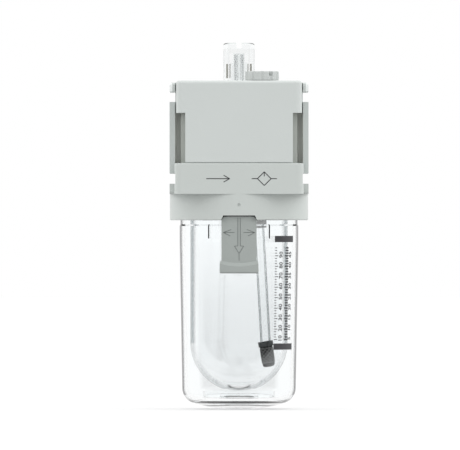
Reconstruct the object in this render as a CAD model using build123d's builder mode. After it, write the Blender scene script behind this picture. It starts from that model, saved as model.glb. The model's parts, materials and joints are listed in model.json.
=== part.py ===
from build123d import *
from math import asin, atan2, cos, degrees, hypot, radians, sin, sqrt, tan
import os

# Air line lubricator of a modular air preparation unit, in millimetres.
# X runs with the air flow, -Y is the front with the lock button, +Z is up.
# The origin is on the bowl's axis, level with the lowest point of the bowl guard.

os.makedirs("parts", exist_ok=True)

# Clearances
slide_gap = 0.3            # between a piece that moves and what it passes
turn_gap = 0.1             # around a round piece that only turns in its bore
push_fit = 0.05            # around a piece that stays in its seat
cut_over = 1.0             # how far a cut runs past the face it opens

# Body casting, outside
module_width = 53.0        # from one port face to the other
skirt_rim = 72.4           # height of the skirt's lower rim
skirt_height = 10.0
skirt_rim_radius = 0.4
block_width = 49.3         # block with the plain front panel, above the skirt
block_height = 11.7
block_corner = 2.6
block_edge = 0.45
pad_width = 41.0           # narrower middle of the body, between the two channels
pad_setback = 0.5          # how far pad and cap stand behind the block's front
parting_height = 0.4       # thin groove between block and pad
parting_depth = 0.5
cap_width = 48.0
cap_height = 12.35
cap_corner = 2.6
cap_edge = 1.2
cap_rise = 0.75            # cap above the top of the port flanges
step_width = 44.4          # step behind the pad, on each side
neck_depth = 32.0          # front to back size of the necks that carry the flanges

# Port flanges and ports
flange_thickness = 2.1
flange_depth = 42.0
flange_height = 42.5
flange_corner = 1.0
port_offset = 0.25         # port axis above the middle of the flanges
key_groove_offset = 15.6   # from the port axis, up and down
key_groove_height = 4.0
key_groove_depth = 2.2
port_radius = 7.5          # tapping size of the 3/8 pipe thread
port_depth = 11.4
port_chamfer = 0.6
flow_radius = 6.5

# Inside of the skirt
skirt_wall = 2.1
lip_wall = 1.1             # thinner lip at the rim, which the lock button turns behind
lip_depth = 2.2
pocket_depth = 8.6         # annular pocket for the guard's neck
ledge_rise = 3.2           # bayonet ledges, above the rim
ledge_height = 1.9
ledge_half_angle = 26.0
lug_count = 4
lug_first_angle = 45.0
notch_height = 1.8         # notch in the rim that the lock button enters
notch_top_width = 12.0
notch_side_spread = 0.9
dimple_radius = 0.6
dimple_depth = 0.35
dimple_rise = 5.8

# Bowl guard
lug_height = 1.6           # how far a bayonet lug stands out from the guard's neck
lug_thickness = 2.0
lug_half_angle = 14.0
bead_rise = 0.3            # guard's rim band, proud of its neck
bead_height = 6.2
bead_drop = 2.2            # top of the band below the skirt rim
bead_slope = 0.6
guard_wall = 1.9
guard_neck_wall = 1.2
guard_taper = 1.05         # how much narrower the guard is at its foot
guard_floor = 2.0
guard_floor_sphere = 60.0
guard_corner = 6.0
drain_hole_radius = 6.0
drain_rim_wall = 1.5
drain_rim_height = 2.0
floor_rib_radius = 13.2
floor_rib_wall = 0.7
floor_rib_height = 2.9
shelf_width = 0.9          # inner shelf that carries the bowl's flange
shelf_height = 2.0
shelf_rise = 3.0           # top of the shelf above the skirt rim, out of sight
slit_angle = 30.6          # narrow slits in the band, either side of the button
slit_width = 0.5
slit_height = 5.3
slit_drop = 1.7            # top of a slit below the skirt rim

# Inner bowl
bowl_gap = 2.2             # between guard and bowl
bowl_wall = 1.9
bowl_foot = 6.7            # height of the bowl's lowest point
bowl_flange_height = 3.0
bowl_neck_wall = 2.4
bowl_neck_rise = 15.6      # top of the bowl above the skirt rim

# Seals
bowl_seal = 1.8            # section of each ring
insert_seal = 1.2
dome_seal = 1.2
plug_seal = 1.6
groove_side_gap = 0.3
insert_seal_rise = 3.5     # lower ring above the insert's flange
insert_seal_drop = 1.4     # upper ring below the insert's top

# Flow insert, the plastic piece across the air passage
insert_radius = 9.9
insert_neck_radius = 7.7
insert_shoulder = 7.6      # shoulder above the port axis
insert_rise = 12.1         # top of the insert above the port axis
insert_flange_radius = 10.9
insert_flange_height = 3.0
bowl_bore_rise = 16.6      # ceiling of the bowl's bore above the skirt rim
oil_hole_radius = 0.6
oil_riser_y = -7.75
insert_recess_radius = 3.2
insert_recess_depth = 1.5
oil_riser_drop = 2.0       # top of the riser below the insert's shoulder
drip_seat_depth = 2.1
pressure_hole_radius = 0.5
pressure_hole_x = -6.0
insert_screw_y = 12.3
screw_radius = 1.25
screw_length = 6.0
screw_head_radius = 2.2
screw_head_height = 1.6
screw_slot_width = 0.6
screw_slot_depth = 0.6
ear_radius = 2.7

# Suction tube, check ball and strainer
socket_x = 7.7
socket_drop = 3.0          # lower end of the socket below the skirt rim
socket_radius = 3.0
socket_depth = 7.0
tube_radius = 2.0
tube_bore = 1.5
strainer_wall_gap = 3.3    # tube's line to the bowl's wall, level with the strainer's foot
strainer_floor_gap = 7.6   # strainer above the inside of the bowl's bottom
strainer_radius = 2.4
strainer_bore = 1.7
strainer_length = 8.8
strainer_edge = 0.8
strainer_lean = 6.0        # how far the strainer leans out from the tube, in degrees
ferrule_radius = 2.9
ferrule_length = 2.0
ball_radius = 2.0
ball_lift = 1.0

# Damper flap in the air passage
damper_pin_rise = 4.2      # above the port axis
damper_pin_radius = 0.4
damper_pin_reach = 6.1     # how far the pin reaches to the front
damper_half_width = 3.8
damper_length = 8.8
damper_thickness = 0.6
damper_knuckle_radius = 0.8
damper_corner = 2.0

# Sight dome and drip tube
dome_radius = 6.05
dome_height = 14.35
dome_edge = 1.0
dome_stem_radius = 4.9
dome_stem_bore = 2.6
dome_stem_gap = 0.45       # between the stem's lower end and the insert's top
dome_chamber_radius = 3.4
dome_chamber_rise = 6.65   # top of the wide chamber above the dome's seat
dome_crown_radius = 2.2
dome_crown_rise = 10.45    # top of the narrow crown above the dome's seat
dome_slot_width = 2.0
dome_slot_depth = 2.1
dome_seal_drop = 3.4       # ring below the body's top
clip_thickness = 0.8
clip_depth = 0.9           # how deep the clip sits in its groove
clip_width = 2.2
clip_gap_angle = 30.0
drip_tube_radius = 1.7
drip_tube_bore = 0.9
drip_tube_top_gap = 0.5

# Refill plug
plug_x = 8.8
plug_y = -9.8
plug_radius = 6.5
plug_head_height = 3.4
plug_edge = 0.4
plug_thread_radius = 4.2
plug_thread_length = 6.0   # also how far it rises until it comes free
plug_flute_count = 12
plug_flute_radius = 1.1
plug_flute_depth = 0.35
plug_slot_width = 1.6
plug_slot_depth = 1.75
plug_slot_angle = -58.0
plug_counterbore = 1.5
refill_thread_depth = 12.0
refill_passage_radius = 2.0

# Lock button and its spring
button_width = 13.4
button_top_gap = 0.45      # below the roof of the notch
button_height = 21.65
button_top_corner = 1.0
button_back_gap = 0.2
ledge_width = 14.8         # thumb ledge at the button's lower end
ledge_out = 1.3            # how far the ledge stands out of the button's face
thumb_height = 4.9
thumb_middle = 4.0         # height of the ledge's slope where it meets the middle of the plate
thumb_slope = 45.0         # of the ledge's flat top, in degrees
thumb_lower_edge = 0.5
button_travel = 3.0        # how far it is pulled down to clear the skirt
stem_width = 5.0
stem_height = 6.0
stem_drop = 7.75           # top of the stem below the button's top
stem_head_width = 9.0
stem_head_thickness = 1.2
spring_pressed = 3.0       # length of the spring with the button pulled down
spring_radius = 0.65       # to the middle of the wire
spring_wire = 0.3
spring_turns = 5
spigot_radius = 0.35
spigot_length = 1.2

# Heights of the body
half_width = module_width / 2
skirt_radius = half_width
skirt_top = skirt_rim + skirt_height
block_top = skirt_top + block_height
flange_top = skirt_top + flange_height
body_top = flange_top + cap_rise
cap_bottom = body_top - cap_height
port_z = skirt_top + flange_height / 2 + port_offset
cap_depth = 2 * (skirt_radius - pad_setback)

# Radii from the skirt inwards, down to the bowl
lip_radius = skirt_radius - lip_wall
pocket_radius = skirt_radius - skirt_wall
pocket_top = skirt_rim + pocket_depth
lug_radius = pocket_radius - slide_gap
guard_neck_radius = lug_radius - lug_height
guard_radius = guard_neck_radius + bead_rise
guard_bore = guard_radius - guard_wall
guard_neck_bore = guard_neck_radius - guard_neck_wall
ledge_radius = guard_radius + slide_gap
bowl_radius = guard_bore - bowl_gap
bowl_bore = bowl_radius - bowl_wall
bowl_neck_radius = bowl_bore + bowl_neck_wall
bowl_bore_radius = bowl_neck_radius + slide_gap

# Heights inside the skirt
ledge_bottom = skirt_rim + ledge_rise
lug_bottom = ledge_bottom + ledge_height + slide_gap
guard_top = pocket_top - 2 * slide_gap
bead_top = skirt_rim - bead_drop
bead_bottom = bead_top - bead_height
notch_roof = skirt_rim + notch_height
bowl_ceiling = skirt_rim + bowl_bore_rise
bowl_top = skirt_rim + bowl_neck_rise
shelf_top = skirt_rim + shelf_rise
bowl_seal_z = (pocket_top + bowl_top) / 2

# Flow insert, dome seat and refill passage
insert_bore = insert_radius + push_fit
insert_neck_bore = insert_neck_radius + push_fit
insert_top = port_z + insert_rise
insert_shoulder_z = port_z + insert_shoulder
insert_bottom = bowl_ceiling - insert_flange_height
insert_floor = insert_top - insert_recess_depth
gallery_z = bowl_ceiling - insert_flange_height / 2
dome_hole_radius = dome_stem_radius + turn_gap
dome_seat = body_top + slide_gap
dome_stem_bottom = insert_top + dome_stem_gap
dome_seal_z = body_top - dome_seal_drop
clip_bottom = dome_stem_bottom + clip_thickness
clip_top = clip_bottom + clip_thickness
insert_ceiling = clip_top + slide_gap
refill_thread_bottom = body_top - refill_thread_depth
plug_hole_radius = plug_thread_radius + turn_gap
plug_counterbore_radius = plug_thread_radius + plug_seal + 2 * turn_gap

# Floors of the grooves that hold the sealing rings
bowl_groove_floor = bowl_bore_radius - turn_gap - bowl_seal - push_fit
insert_groove_floor = insert_bore - insert_seal - 2 * push_fit
insert_neck_groove_floor = insert_neck_bore - insert_seal - 2 * push_fit
dome_groove_floor = dome_hole_radius - turn_gap - dome_seal - push_fit

# Axis of the suction tube up into its socket, and the strainer's axis, which leans out from it
bowl_round_centre = bowl_foot + bowl_radius
strainer_bottom = bowl_foot + bowl_wall + strainer_floor_gap
strainer_x = sqrt(bowl_bore**2 - (bowl_round_centre - strainer_bottom)**2) - strainer_wall_gap
socket_bottom = skirt_rim - socket_drop
tube_rise = socket_bottom - strainer_bottom
tube_run = socket_x - strainer_x
tube_axis = Plane(origin=(strainer_x, 0, strainer_bottom), z_dir=(tube_run, 0, tube_rise))
tube_slant = hypot(tube_rise, tube_run) / tube_rise
strainer_angle = atan2(-tube_run, tube_rise) + radians(strainer_lean)
strainer_up = Vector(-sin(strainer_angle), 0, cos(strainer_angle))
strainer_joint = tube_axis.offset(strainer_length).origin
strainer_axis = Plane(origin=strainer_joint - strainer_up * strainer_length, z_dir=strainer_up)
lean_gap = tube_radius * sin(radians(strainer_lean))
socket_start = tube_rise * tube_slant
socket_length = (gallery_z - socket_bottom) * tube_slant
gallery_x = socket_x + (gallery_z - socket_bottom) * tube_run / tube_rise
ball_seat = socket_start + socket_depth
ball_height = sqrt(ball_radius**2 - tube_bore**2) + push_fit
chamber_height = ball_height + ball_radius + ball_lift + slide_gap

# Lock button, its stem and its spring, all against the front of the guard
button_front = lip_radius - slide_gap
button_back = guard_radius + button_back_gap
button_top = notch_roof - button_top_gap
button_bottom = button_top - button_height
stem_top = button_top - stem_drop
stem_bottom = stem_top - stem_height
stem_head_front = guard_bore - 2 * slide_gap
spring_length = spring_pressed + button_travel
spring_seat = stem_bottom - spring_length
spring_y = -(guard_bore + guard_radius) / 2

# Guard's domed floor and inner shelf
guard_foot_radius = guard_radius - guard_taper
guard_sphere_centre = sqrt(guard_floor_sphere**2 - drain_hole_radius**2)
guard_inner_sphere = guard_floor_sphere - guard_floor
guard_inner_foot = guard_foot_radius - guard_wall
shelf_bore = guard_bore - shelf_width
shelf_bottom = shelf_top - shelf_height


def facing(angle):
    """Upright plane through the Z axis, facing outwards at an angle from the front."""
    turn = radians(angle)
    return Plane(origin=(0, 0, 0), x_dir=(cos(turn), sin(turn), 0), z_dir=(sin(turn), -cos(turn), 0))


def ring_sectors(inner, outer, half_angle):
    """Draw the bayonet's evenly spaced sectors of a ring in the open sketch."""
    gap_half_angle = 180 / lug_count - half_angle
    reach = 2 * outer
    spread = reach * tan(radians(gap_half_angle))
    Circle(outer)
    Circle(inner, mode=Mode.SUBTRACT)
    with PolarLocations(0, lug_count, start_angle=lug_first_angle + 180 / lug_count):
        Polygon((0, 0), (reach, spread), (reach, -spread), align=None, mode=Mode.SUBTRACT)


def curved_slab(inner, outer, width):
    """Draw the front stretch of a ring, cut to a width, in the open sketch."""
    Circle(outer)
    Circle(inner, mode=Mode.SUBTRACT)
    with Locations((0, -outer)):
        Rectangle(width, outer, mode=Mode.INTERSECT)


def seal_ring(plane, floor_radius, section):
    """Make a round sealing ring that lies on a groove's floor."""
    with BuildPart(plane) as ring:
        Torus(floor_radius + push_fit + section / 2, section / 2)
    return ring


def groove(height, floor_radius, outer_radius, section):
    """Cut the groove for a sealing ring into the open part, round the Z axis."""
    width = section + 2 * groove_side_gap
    with BuildSketch(Plane.XY.offset(height - width / 2)) as section_ring:
        Circle(outer_radius + cut_over)
        Circle(floor_radius, mode=Mode.SUBTRACT)
    extrude(section_ring.sketch, amount=width, mode=Mode.SUBTRACT)


def floor_height(radius):
    """Height of the guard's inner floor at a radius."""
    return guard_sphere_centre - sqrt(guard_inner_sphere**2 - radius**2)


# Body: one die casting with the skirt, the panel block, the cap and both port flanges.
with BuildPart() as body:
    with BuildSketch(Plane.XY.offset(skirt_rim)):
        Circle(skirt_radius)
    extrude(amount=skirt_height)
    fillet(body.edges().sort_by(Axis.Z)[0], skirt_rim_radius)
    with BuildSketch(Plane.XY.offset(skirt_top)):
        RectangleRounded(block_width, 2 * skirt_radius, block_corner)
    extrude(amount=block_height)
    fillet(body.faces().sort_by(Axis.Z)[-1].edges(), block_edge)

    # The pad starts with a thin parting groove, and the cap overhangs it on each side.
    with BuildSketch(Plane.XY.offset(block_top)):
        Rectangle(pad_width, cap_depth - 2 * parting_depth)
    extrude(amount=parting_height)
    with BuildSketch(Plane.XY.offset(block_top + parting_height)):
        Rectangle(pad_width, cap_depth)
    extrude(amount=cap_bottom - block_top - parting_height)
    with BuildSketch(Plane.XY.offset(cap_bottom)):
        RectangleRounded(cap_width, cap_depth, cap_corner)
    extrude(amount=cap_height)
    fillet(body.faces().sort_by(Axis.Z)[-1].edges(), cap_edge)

    # Step, necks and flanges: a slit stays open between the cap's sides and the flanges.
    with BuildSketch(Plane.XY.offset(skirt_top)):
        Rectangle(step_width, flange_depth)
    extrude(amount=cap_bottom - skirt_top)
    with BuildSketch(Plane.XY.offset(skirt_top)):
        Rectangle(module_width - flange_thickness, neck_depth)
    extrude(amount=flange_height)
    for side in (-1, 1):
        with BuildSketch(Plane.YZ.offset(side * half_width)):
            with Locations((0, skirt_top + flange_height / 2)):
                RectangleRounded(flange_depth, flange_height, flange_corner)
        extrude(amount=-side * flange_thickness)

    # Key grooves along the outer face of each flange, above and below the port.
    for side in (-1, 1):
        with BuildSketch(Plane.XZ):
            for offset_z in (-key_groove_offset, key_groove_offset):
                with Locations((side * half_width, port_z + offset_z)):
                    Rectangle(2 * key_groove_depth, key_groove_height)
        extrude(amount=flange_depth, both=True, mode=Mode.SUBTRACT)

    # Pocket for the guard's neck, thin lip at the rim and the bowl's sealing bore.
    with BuildSketch(Plane.XY.offset(skirt_rim)):
        Circle(lip_radius)
    extrude(amount=lip_depth, mode=Mode.SUBTRACT)
    with BuildSketch(Plane.XY.offset(skirt_rim)):
        Circle(pocket_radius)
    extrude(amount=pocket_depth, mode=Mode.SUBTRACT)
    with BuildSketch(Plane.XY.offset(pocket_top)):
        Circle(bowl_bore_radius)
    extrude(amount=bowl_ceiling - pocket_top, mode=Mode.SUBTRACT)

    # Bayonet ledges, with gaps that the guard's lugs pass once it has turned.
    with BuildSketch(Plane.XY.offset(ledge_bottom)):
        ring_sectors(ledge_radius, pocket_radius + skirt_wall / 2, ledge_half_angle)
    extrude(amount=ledge_height)

    # Notch for the lock button, front and back, and a small dimple above the front one.
    with BuildSketch(Plane.XZ):
        Polygon(
            (-notch_top_width / 2, notch_roof),
            (notch_top_width / 2, notch_roof),
            (notch_top_width / 2 + notch_side_spread, skirt_rim),
            (notch_top_width / 2 + notch_side_spread, skirt_rim - cut_over),
            (-notch_top_width / 2 - notch_side_spread, skirt_rim - cut_over),
            (-notch_top_width / 2 - notch_side_spread, skirt_rim),
            align=None,
        )
    extrude(amount=2 * skirt_radius, both=True, mode=Mode.SUBTRACT)
    with BuildSketch(Plane.XZ.offset(skirt_radius)):
        with Locations((0, skirt_rim + dimple_rise)):
            Circle(dimple_radius)
    extrude(amount=-dimple_depth, mode=Mode.SUBTRACT)

    # Stepped bore for the flow insert, and the dome's hole above it.
    with BuildSketch(Plane.XY.offset(bowl_ceiling)):
        Circle(insert_bore)
    extrude(amount=insert_shoulder_z + slide_gap - bowl_ceiling, mode=Mode.SUBTRACT)
    with BuildSketch(Plane.XY.offset(insert_shoulder_z)):
        Circle(insert_neck_bore)
    extrude(amount=insert_ceiling - insert_shoulder_z, mode=Mode.SUBTRACT)
    with BuildSketch(Plane.XY.offset(insert_ceiling)):
        Circle(dome_hole_radius)
    extrude(amount=body_top - insert_ceiling + cut_over, mode=Mode.SUBTRACT)
    for side in (-1, 1):
        with BuildSketch(Plane.XY.offset(bowl_ceiling)):
            with Locations((0, side * insert_screw_y)):
                Circle(screw_radius + push_fit)
        extrude(amount=screw_length + slide_gap, mode=Mode.SUBTRACT)

    # Refill hole: counterbore for the plug's seal, thread, then a passage to the bowl.
    with BuildSketch(Plane.XY.offset(body_top)):
        with Locations((plug_x, plug_y)):
            Circle(plug_counterbore_radius)
    extrude(amount=-plug_counterbore, mode=Mode.SUBTRACT)
    with BuildSketch(Plane.XY.offset(body_top)):
        with Locations((plug_x, plug_y)):
            Circle(plug_hole_radius)
    extrude(amount=-refill_thread_depth, mode=Mode.SUBTRACT)
    with BuildSketch(Plane.XY.offset(bowl_ceiling)):
        with Locations((plug_x, plug_y)):
            Circle(refill_passage_radius)
    extrude(amount=refill_thread_bottom - bowl_ceiling, mode=Mode.SUBTRACT)

    # Air passage from port to port, and the two tapped ports with chamfered mouths.
    with BuildSketch(Plane.YZ):
        with Locations((0, port_z)):
            Circle(flow_radius)
    extrude(amount=half_width, both=True, mode=Mode.SUBTRACT)
    for side in (-1, 1):
        with BuildSketch(Plane.YZ.offset(side * half_width)):
            with Locations((0, port_z)):
                Circle(port_radius)
        extrude(amount=-side * port_depth, mode=Mode.SUBTRACT)
        rims = body.edges().filter_by(GeomType.CIRCLE).filter_by(lambda edge: edge.radius == port_radius)
        chamfer(rims.sort_by_distance((side * half_width, 0, port_z))[0], port_chamfer)

body.part.label = "body"
export_step(body.part, "parts/body.step")


# Bowl guard: moulded clear cup with a banded rim, a bayonet neck and a drain hole.
drain_rim_top = floor_height(drain_hole_radius) + drain_rim_height
floor_rib_top = floor_height(floor_rib_radius) + floor_rib_height

with BuildPart() as bowl_guard:
    with BuildSketch(Plane.XZ) as guard_outline:
        with BuildLine():
            foot_angle = degrees(asin(guard_foot_radius / guard_floor_sphere))
            floor_arc = CenterArc((0, guard_sphere_centre), guard_floor_sphere, -90, foot_angle)
            Polyline(
                floor_arc @ 1,
                (guard_radius, bead_bottom),
                (guard_radius, bead_top),
                (guard_neck_radius, bead_top + bead_slope),
                (guard_neck_radius, guard_top),
                (0, guard_top),
                floor_arc @ 0,
            )
        make_face()
        fillet(guard_outline.vertices().sort_by_distance(floor_arc @ 1)[0], guard_corner)
    revolve(axis=Axis.Z)

    # Inside: domed floor, tapered wall, and the shelf that carries the bowl's flange.
    with BuildSketch(Plane.XZ) as guard_cavity:
        with BuildLine():
            inner_angle = degrees(asin(guard_inner_foot / guard_inner_sphere))
            inner_arc = CenterArc((0, guard_sphere_centre), guard_inner_sphere, -90, inner_angle)
            Polyline(
                inner_arc @ 1,
                (guard_bore, bead_bottom),
                (guard_bore, shelf_bottom - shelf_width),
                (shelf_bore, shelf_bottom),
                (shelf_bore, shelf_top),
                (guard_neck_bore, shelf_top),
                (guard_neck_bore, guard_top + cut_over),
                (0, guard_top + cut_over),
                inner_arc @ 0,
            )
        make_face()
        fillet(guard_cavity.vertices().sort_by_distance(inner_arc @ 1)[0], guard_corner - guard_wall)
    revolve(axis=Axis.Z, mode=Mode.SUBTRACT)

    # Rim round the drain hole and a low ring rib on the floor.
    with BuildSketch(Plane.XY.offset(guard_floor / 2)):
        Circle(drain_hole_radius + drain_rim_wall)
    extrude(amount=drain_rim_top - guard_floor / 2)
    with BuildSketch(Plane.XY.offset(floor_rib_top)):
        Circle(floor_rib_radius + floor_rib_wall)
        Circle(floor_rib_radius, mode=Mode.SUBTRACT)
    extrude(amount=-floor_rib_height - guard_floor / 2)
    with BuildSketch(Plane.XY.offset(-cut_over)):
        Circle(drain_hole_radius)
    extrude(amount=drain_rim_top + 2 * cut_over, mode=Mode.SUBTRACT)

    # Bayonet lugs on the neck.
    with BuildSketch(Plane.XY.offset(lug_bottom)):
        ring_sectors(guard_neck_bore + guard_neck_wall / 2, lug_radius, lug_half_angle)
    extrude(amount=lug_thickness)

    # Upright slot that the lock button's stem and spring sit in, and two narrow slits.
    with BuildSketch(Plane.XZ.offset(shelf_bore)):
        with Locations((0, (spring_seat + stem_top + slide_gap) / 2)):
            Rectangle(stem_width + 2 * slide_gap, stem_top + slide_gap - spring_seat)
    extrude(amount=skirt_radius - shelf_bore, mode=Mode.SUBTRACT)
    slit_z = skirt_rim - slit_drop - slit_height / 2
    for angle in (-slit_angle, slit_angle):
        with BuildSketch(facing(angle).offset(guard_bore)):
            with Locations((0, slit_z)):
                Rectangle(slit_width, slit_height)
        extrude(amount=skirt_radius - guard_bore, mode=Mode.SUBTRACT)

bowl_guard.part.label = "bowl_guard"
export_step(bowl_guard.part, "parts/bowl_guard.step")


# Inner bowl: clear cup with a round bottom, a flange on the guard's shelf and a sealed neck.
bowl_flange_radius = guard_neck_bore - turn_gap
bowl_flange_top = shelf_top + bowl_flange_height

with BuildPart() as inner_bowl:
    with BuildSketch(Plane.XZ):
        with BuildLine():
            outer_round = CenterArc((0, bowl_round_centre), bowl_radius, -90, 90)
            inner_round = CenterArc((0, bowl_round_centre), bowl_bore, -90, 90)
            Polyline(
                outer_round @ 1,
                (bowl_radius, shelf_top),
                (bowl_flange_radius, shelf_top),
                (bowl_flange_radius, bowl_flange_top),
                (bowl_neck_radius, bowl_flange_top),
                (bowl_neck_radius, bowl_top),
                (bowl_bore, bowl_top),
                inner_round @ 1,
            )
            Line(outer_round @ 0, inner_round @ 0)
        make_face()
    revolve(axis=Axis.Z)
    groove(bowl_seal_z, bowl_groove_floor, bowl_neck_radius, bowl_seal)

inner_bowl.part.label = "inner_bowl"
export_step(inner_bowl.part, "parts/inner_bowl.step")

bowl_o_ring = seal_ring(Plane.XY.offset(bowl_seal_z), bowl_groove_floor, bowl_seal)
bowl_o_ring.part.label = "bowl_o_ring"
export_step(bowl_o_ring.part, "parts/bowl_o_ring.step")


# Flow insert: stepped plastic plug across the air passage, with the suction tube's socket.
insert_seal_z = bowl_ceiling + insert_seal_rise
insert_neck_seal_z = insert_top - insert_seal_drop
riser_top = insert_shoulder_z - oil_riser_drop
oil_mouth_y = -(insert_recess_radius - oil_hole_radius - push_fit)

with BuildPart() as flow_insert:
    with BuildSketch(Plane.XY.offset(insert_bottom)):
        Circle(insert_flange_radius)
        Rectangle(2 * ear_radius, 2 * insert_screw_y)
        for side in (-1, 1):
            with Locations((0, side * insert_screw_y)):
                Circle(ear_radius)
                Circle(screw_radius + turn_gap, mode=Mode.SUBTRACT)
    extrude(amount=insert_flange_height)
    with BuildSketch(Plane.XY.offset(bowl_ceiling)):
        Circle(insert_radius)
    extrude(amount=insert_shoulder_z - bowl_ceiling)
    with BuildSketch(Plane.XY.offset(insert_shoulder_z)):
        Circle(insert_neck_radius)
    extrude(amount=insert_top - insert_shoulder_z)
    with BuildSketch(tube_axis.offset(socket_start)):
        Circle(socket_radius)
    extrude(amount=socket_length)

    # Air passage, and the small hole that puts the bowl under pressure.
    with BuildSketch(Plane.YZ):
        with Locations((0, port_z)):
            Circle(flow_radius)
    extrude(amount=insert_radius + cut_over, both=True, mode=Mode.SUBTRACT)
    with BuildSketch(Plane.XY.offset(insert_bottom)):
        with Locations((pressure_hole_x, 0)):
            Circle(pressure_hole_radius)
    extrude(amount=port_z - insert_bottom, mode=Mode.SUBTRACT)

    # Socket bore for the tube, check ball chamber, and the feed hole above it.
    with BuildSketch(tube_axis.offset(socket_start)):
        Circle(tube_radius + push_fit)
    extrude(amount=socket_depth, mode=Mode.SUBTRACT)
    with BuildSketch(tube_axis.offset(ball_seat)):
        Circle(ball_radius + slide_gap)
    extrude(amount=chamber_height, mode=Mode.SUBTRACT)
    with BuildSketch(tube_axis.offset(ball_seat)):
        Circle(oil_hole_radius)
    extrude(amount=socket_start + socket_length - ball_seat, mode=Mode.SUBTRACT)

    # Oil gallery in the flange, riser beside the air passage, slanting hole to the top.
    with BuildSketch(Plane(origin=(gallery_x, 0, gallery_z), z_dir=(-gallery_x, oil_riser_y, 0))):
        Circle(oil_hole_radius)
    extrude(amount=hypot(gallery_x, oil_riser_y), mode=Mode.SUBTRACT)
    with BuildSketch(Plane.XY.offset(gallery_z)):
        with Locations((0, oil_riser_y)):
            Circle(oil_hole_radius)
    extrude(amount=riser_top - gallery_z, mode=Mode.SUBTRACT)
    slant_run = oil_mouth_y - oil_riser_y
    slant_rise = insert_floor - riser_top
    with BuildSketch(Plane(origin=(0, oil_riser_y, riser_top), z_dir=(0, slant_run, slant_rise))):
        Circle(oil_hole_radius)
    extrude(amount=hypot(slant_run, slant_rise) + cut_over, mode=Mode.SUBTRACT)

    # Recess in the top, seat of the drip tube, and the drip hole into the air passage.
    with BuildSketch(Plane.XY.offset(insert_top)):
        Circle(insert_recess_radius)
    extrude(amount=-insert_recess_depth, mode=Mode.SUBTRACT)
    with BuildSketch(Plane.XY.offset(insert_floor)):
        Circle(drip_tube_radius + push_fit)
    extrude(amount=-drip_seat_depth, mode=Mode.SUBTRACT)
    with BuildSketch(Plane.XY.offset(port_z)):
        Circle(drip_tube_bore)
    extrude(amount=insert_floor - port_z, mode=Mode.SUBTRACT)

    # Blind hole for the damper's pin, and the two seal grooves.
    with BuildSketch(Plane.XZ.offset(damper_pin_reach + push_fit)):
        with Locations((0, port_z + damper_pin_rise)):
            Circle(damper_pin_radius + push_fit)
    extrude(amount=-damper_pin_reach - insert_radius - cut_over, mode=Mode.SUBTRACT)
    groove(insert_seal_z, insert_groove_floor, insert_radius, insert_seal)
    groove(insert_neck_seal_z, insert_neck_groove_floor, insert_neck_radius, insert_seal)

flow_insert.part.label = "flow_insert"
export_step(flow_insert.part, "parts/flow_insert.step")

insert_o_ring = seal_ring(Plane.XY.offset(insert_seal_z), insert_groove_floor, insert_seal)
insert_o_ring.part.label = "insert_o_ring"
export_step(insert_o_ring.part, "parts/insert_o_ring.step")

insert_neck_o_ring = seal_ring(Plane.XY.offset(insert_neck_seal_z), insert_neck_groove_floor, insert_seal)
insert_neck_o_ring.part.label = "insert_neck_o_ring"
export_step(insert_neck_o_ring.part, "parts/insert_neck_o_ring.step")


# Two slotted screws hold the insert's ears against the bore's ceiling.
with BuildPart() as insert_screws:
    for side in (-1, 1):
        with BuildSketch(Plane.XY.offset(insert_bottom - screw_head_height)):
            with Locations((0, side * insert_screw_y)):
                Circle(screw_head_radius)
        extrude(amount=screw_head_height)
        with BuildSketch(Plane.XY.offset(insert_bottom)):
            with Locations((0, side * insert_screw_y)):
                Circle(screw_radius)
        extrude(amount=insert_flange_height + screw_length)
        with BuildSketch(Plane.XY.offset(insert_bottom - screw_head_height)):
            with Locations((0, side * insert_screw_y)):
                Rectangle(2 * screw_head_radius, screw_slot_width)
        extrude(amount=screw_slot_depth, mode=Mode.SUBTRACT)

insert_screws.part.label = "insert_screws"
export_step(insert_screws.part, "parts/insert_screws.step")


# Suction tube: thin clear tube from its socket down to the strainer.
with BuildPart() as suction_tube:
    with BuildSketch(tube_axis.offset(strainer_length + push_fit)):
        Circle(tube_radius)
        Circle(tube_bore, mode=Mode.SUBTRACT)
    extrude(amount=ball_seat - strainer_length - 2 * push_fit)

suction_tube.part.label = "suction_tube"
export_step(suction_tube.part, "parts/suction_tube.step")


# Ferrule: collar in line with the strainer, with the tube's slanting hole in its upper half.
with BuildPart() as strainer_ferrule:
    with BuildSketch(strainer_axis.offset(strainer_length - ferrule_length / 2)):
        Circle(ferrule_radius)
    extrude(amount=ferrule_length)
    with BuildSketch(strainer_axis.offset(strainer_length)):
        Circle(strainer_radius + push_fit)
    extrude(amount=-ferrule_length, mode=Mode.SUBTRACT)
    with BuildSketch(tube_axis.offset(strainer_length - lean_gap)):
        Circle(tube_radius + push_fit)
    extrude(amount=2 * ferrule_length, mode=Mode.SUBTRACT)

strainer_ferrule.part.label = "strainer_ferrule"
export_step(strainer_ferrule.part, "parts/strainer_ferrule.step")


# Strainer: sintered cup, open at the top and rounded at its lower end.
with BuildPart() as strainer:
    with BuildSketch(strainer_axis):
        Circle(strainer_radius)
    extrude(amount=strainer_length - lean_gap - push_fit)
    fillet(strainer.edges().sort_by(Axis.Z)[0], strainer_edge)
    with BuildSketch(strainer_axis.offset(strainer_radius - strainer_bore)):
        Circle(strainer_bore)
    extrude(amount=strainer_length, mode=Mode.SUBTRACT)

strainer.part.label = "strainer"
export_step(strainer.part, "parts/strainer.step")


# Check ball: rests on the end of the suction tube and lets oil up but not back.
with BuildPart(tube_axis.offset(ball_seat + ball_height)) as check_ball:
    Sphere(ball_radius)

check_ball.part.label = "check_ball"
export_step(check_ball.part, "parts/check_ball.step")


# Damper: flap that hangs from a pin across the air passage and swings downstream.
damper_pin_z = port_z + damper_pin_rise

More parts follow.
